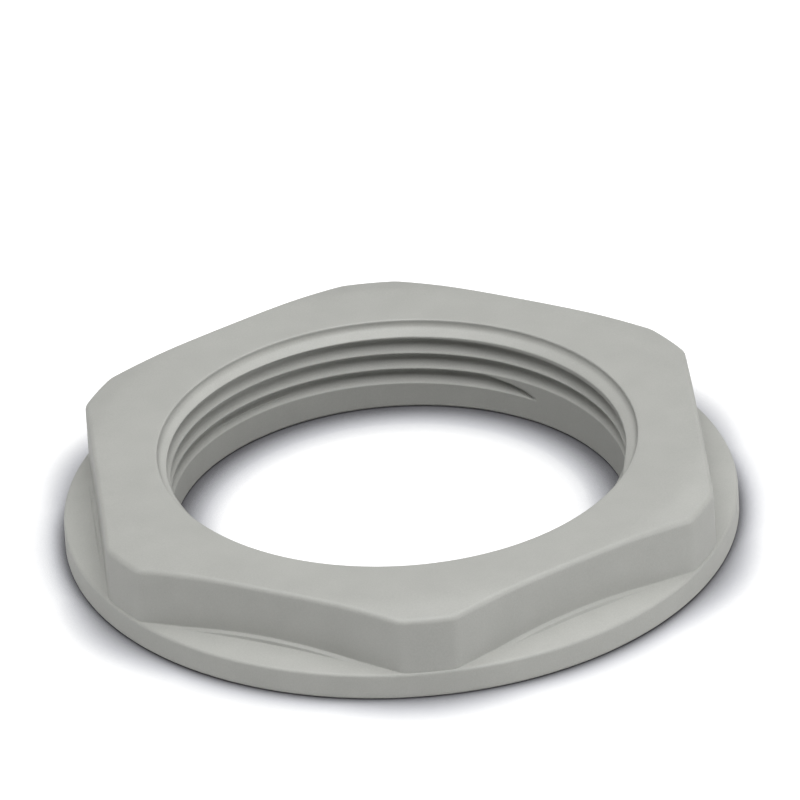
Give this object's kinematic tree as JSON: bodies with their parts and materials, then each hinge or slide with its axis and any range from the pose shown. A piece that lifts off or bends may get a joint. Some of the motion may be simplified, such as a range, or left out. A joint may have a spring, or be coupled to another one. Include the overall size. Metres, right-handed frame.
{
  "type": "cable gland locknut",
  "caption": "Flat moulded hexagon locknut with a round collar on its bearing side and a threaded bore, for fixing a cable gland in a panel hole.",
  "frame": {"origin": "centre of the bearing face, on the bore's axis", "axes": "+Z along the bore from the collar's bearing face towards the hexagon's top face, +X square to one pair of flats"},
  "size_m": [0.0568, 0.0568, 0.008],
  "materials": {
    "grey_polyamide": "fine matt moulded surface, light grey"
  },
  "bodies": {
    "root": {"locknut": "grey_polyamide"}
  },
  "joints": []
}
